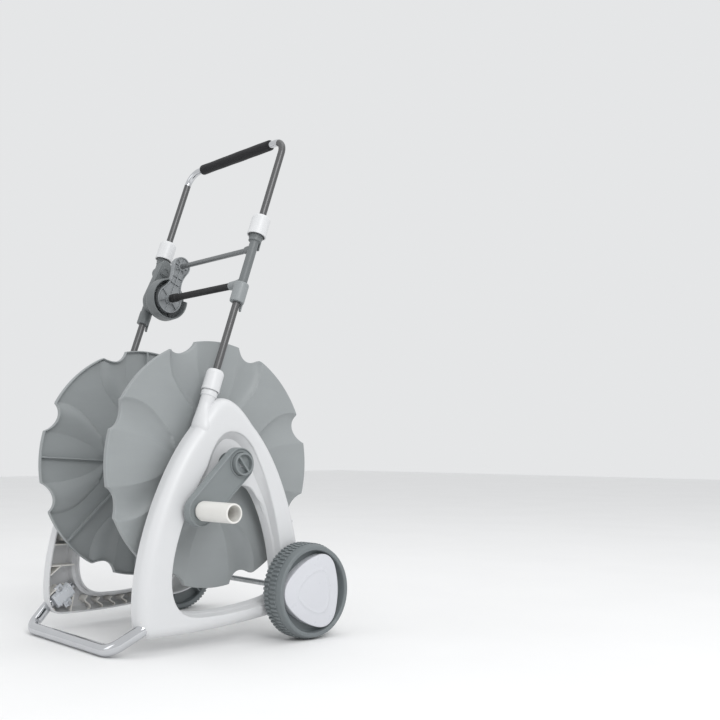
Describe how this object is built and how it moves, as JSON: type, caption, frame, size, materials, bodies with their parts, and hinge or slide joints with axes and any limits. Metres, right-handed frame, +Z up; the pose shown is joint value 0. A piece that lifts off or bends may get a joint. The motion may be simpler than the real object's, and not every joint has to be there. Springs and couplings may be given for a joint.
{
  "type": "garden hose reel cart",
  "caption": "Wheeled garden hose reel: side frames, scalloped crank-turned drum with hub water inlet, foot bar, telescopic handle and sliding hose guide.",
  "frame": {"origin": "on the ground, under the middle of the cart's overall box", "axes": "+Z up; +X towards the crank side; -Y towards the foot bar (front), +Y towards the wheels and the user"},
  "size_m": [0.504, 0.441, 0.892],
  "materials": {
    "frame_white": "satin moulded polypropylene, smooth outside, ribbed inside",
    "bush_grey": "plain bearing plastic",
    "chrome_tube": "bright chrome plating",
    "clear_plastic": "milky translucent plastic",
    "screw_steel": "zinc-plated steel",
    "wheel_grey": "hard matte plastic",
    "cap_white": "satin plastic",
    "drum_grey": "satin moulded plastic with flow lines",
    "barrel_grey": "matte moulded plastic",
    "pipe_black": "matte plastic",
    "connector_white": "satin plastic",
    "seal_rubber": "smooth rubber",
    "crank_grey": "satin plastic",
    "grip_white": "satin plastic, warm inside",
    "tube_graphite": "dark metallic lacquer, bright bends",
    "foam_black": "closed-cell foam, fine pores",
    "guide_grey": "satin plastic",
    "clamp_grey": "satin plastic",
    "lever_silver": "silver lacquer",
    "rod_grey": "grey metallic lacquer",
    "roller_black": "matte rubber"
  },
  "bodies": {
    "chassis": {"frame_left": "frame_white", "frame_right": "frame_white", "hub_bushes": "bush_grey", "foot_bar": "chrome_tube", "foot_clamps": "clear_plastic", "foot_screws": "screw_steel", "axle": "screw_steel", "axle_spacers": "bush_grey", "axle_clips": "screw_steel", "inlet_swivel": "barrel_grey", "inlet_seals": "seal_rubber", "inlet_screws": "screw_steel", "lower_collets": "pipe_black"},
    "drum": {"flange_left": "drum_grey", "flange_right": "drum_grey", "barrel": "barrel_grey", "journal_left": "barrel_grey", "journal_right": "barrel_grey", "flange_screws": "screw_steel", "feed_pipe": "pipe_black", "barrel_connector": "connector_white", "crank_arm": "crank_grey", "crank_knob": "crank_grey", "crank_screw": "screw_steel", "grip_pin": "screw_steel"},
    "crank_grip": {"crank_grip": "grip_white"},
    "left_wheel": {"wheel_left": "wheel_grey", "wheel_cap_left": "cap_white"},
    "right_wheel": {"wheel_right": "wheel_grey", "wheel_cap_right": "cap_white"},
    "handle": {"handle_tube": "tube_graphite", "foam_grip": "foam_black", "tube_plugs": "pipe_black"},
    "lower_lock_left": {"lower_collar_left": "frame_white"},
    "lower_lock_right": {"lower_collar_right": "frame_white"},
    "guide": {"guide_housing": "guide_grey", "guide_sleeve": "guide_grey", "guide_clamp": "clamp_grey", "guide_bolts": "screw_steel", "guide_shaft": "screw_steel", "upper_collets": "pipe_black", "bail_washer": "screw_steel"},
    "upper_lock_left": {"upper_collar_left": "frame_white"},
    "upper_lock_right": {"upper_collar_right": "frame_white"},
    "roller": {"guide_roller": "roller_black"},
    "bail": {"bail_lever": "lever_silver", "bail_rod": "rod_grey"}
  },
  "joints": [
    {"name": "drum_spin", "type": "hinge", "parent": "chassis", "child": "drum", "pos_m": [-0.0275, 0, 0.298], "axis": [1, 0, 0], "continuous": true},
    {"name": "grip_spin", "type": "hinge", "parent": "drum", "child": "crank_grip", "pos_m": [-0.0275, -0.07899, 0.22434], "axis": [1, 0, 0], "continuous": true},
    {"name": "left_wheel_spin", "type": "hinge", "parent": "chassis", "child": "left_wheel", "pos_m": [-0.2275, 0.139, 0.081], "axis": [1, 0, 0], "continuous": true},
    {"name": "right_wheel_spin", "type": "hinge", "parent": "chassis", "child": "right_wheel", "pos_m": [0.1725, 0.139, 0.081], "axis": [1, 0, 0], "continuous": true},
    {"name": "handle_slide", "type": "slide", "parent": "chassis", "child": "handle", "axis": [0, 0.3404, 0.9403], "range_m": [-0.06, 0]},
    {"name": "lower_lock_left_turn", "type": "hinge", "parent": "chassis", "child": "lower_lock_left", "pos_m": [-0.1745, -0.0224, 0.4373], "axis": [0, 0.3404, 0.9403], "range_deg": [0, 120]},
    {"name": "lower_lock_right_turn", "type": "hinge", "parent": "chassis", "child": "lower_lock_right", "pos_m": [0.1195, -0.0224, 0.4373], "axis": [0, 0.3404, 0.9403], "range_deg": [0, 120]},
    {"name": "guide_slide", "type": "slide", "parent": "handle", "child": "guide", "axis": [0, 0.3404, 0.9403], "range_m": [0, 0.12]},
    {"name": "upper_lock_left_turn", "type": "hinge", "parent": "guide", "child": "upper_lock_left", "pos_m": [-0.1745, 0.07767, 0.71374], "axis": [0, 0.3404, 0.9403], "range_deg": [0, 120]},
    {"name": "upper_lock_right_turn", "type": "hinge", "parent": "guide", "child": "upper_lock_right", "pos_m": [0.1195, 0.07767, 0.71374], "axis": [0, 0.3404, 0.9403], "range_deg": [0, 120]},
    {"name": "roller_spin", "type": "hinge", "parent": "guide", "child": "roller", "pos_m": [-0.0275, 0.0457, 0.6097], "axis": [1, 0, 0], "continuous": true},
    {"name": "bail_swing", "type": "hinge", "parent": "guide", "child": "bail", "pos_m": [-0.0275, 0.0457, 0.6097], "axis": [1, 0, 0], "range_deg": [-45, 0]}
  ]
}
